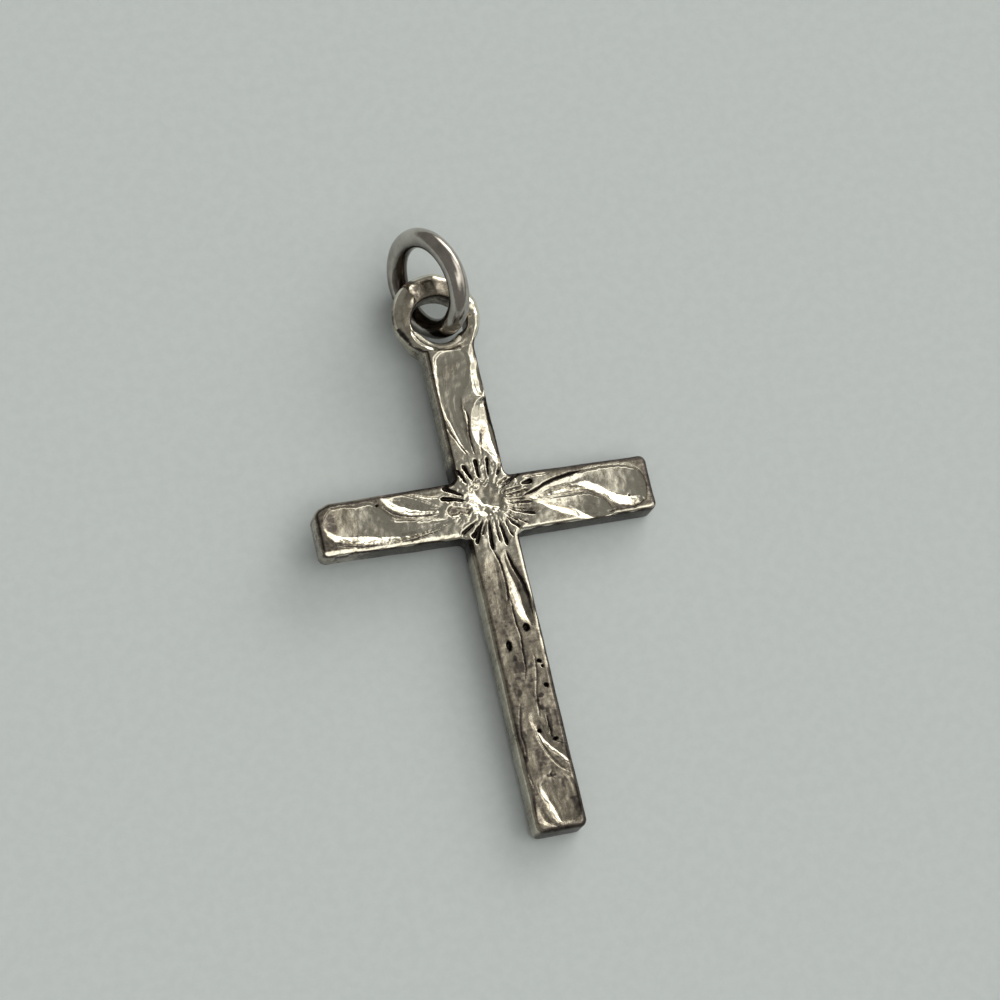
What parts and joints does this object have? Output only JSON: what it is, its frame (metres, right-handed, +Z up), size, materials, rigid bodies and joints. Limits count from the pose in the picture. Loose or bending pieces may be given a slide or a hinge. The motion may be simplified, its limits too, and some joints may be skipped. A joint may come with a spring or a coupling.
{
  "type": "cross pendant",
  "caption": "Small cast silver cross pendant with engraved sunburst and leaf cuts, a round eye at the top and a closed jump ring.",
  "frame": {"origin": "middle of the bounding box, on the surface that the pendant lies on", "axes": "+X along the side arms to the wearer's left, +Y from the foot to the eye, +Z up from the surface, out of the engraved face"},
  "size_m": [0.0142, 0.0256, 0.0045],
  "materials": {
    "tarnished_silver": "worn bright-cut silver with brown tarnish in the recesses and on the side walls",
    "dull_silver": "smooth round wire, evenly darkened silver"
  },
  "bodies": {
    "root": {"cross": "tarnished_silver", "jump_ring": "dull_silver"}
  },
  "joints": []
}
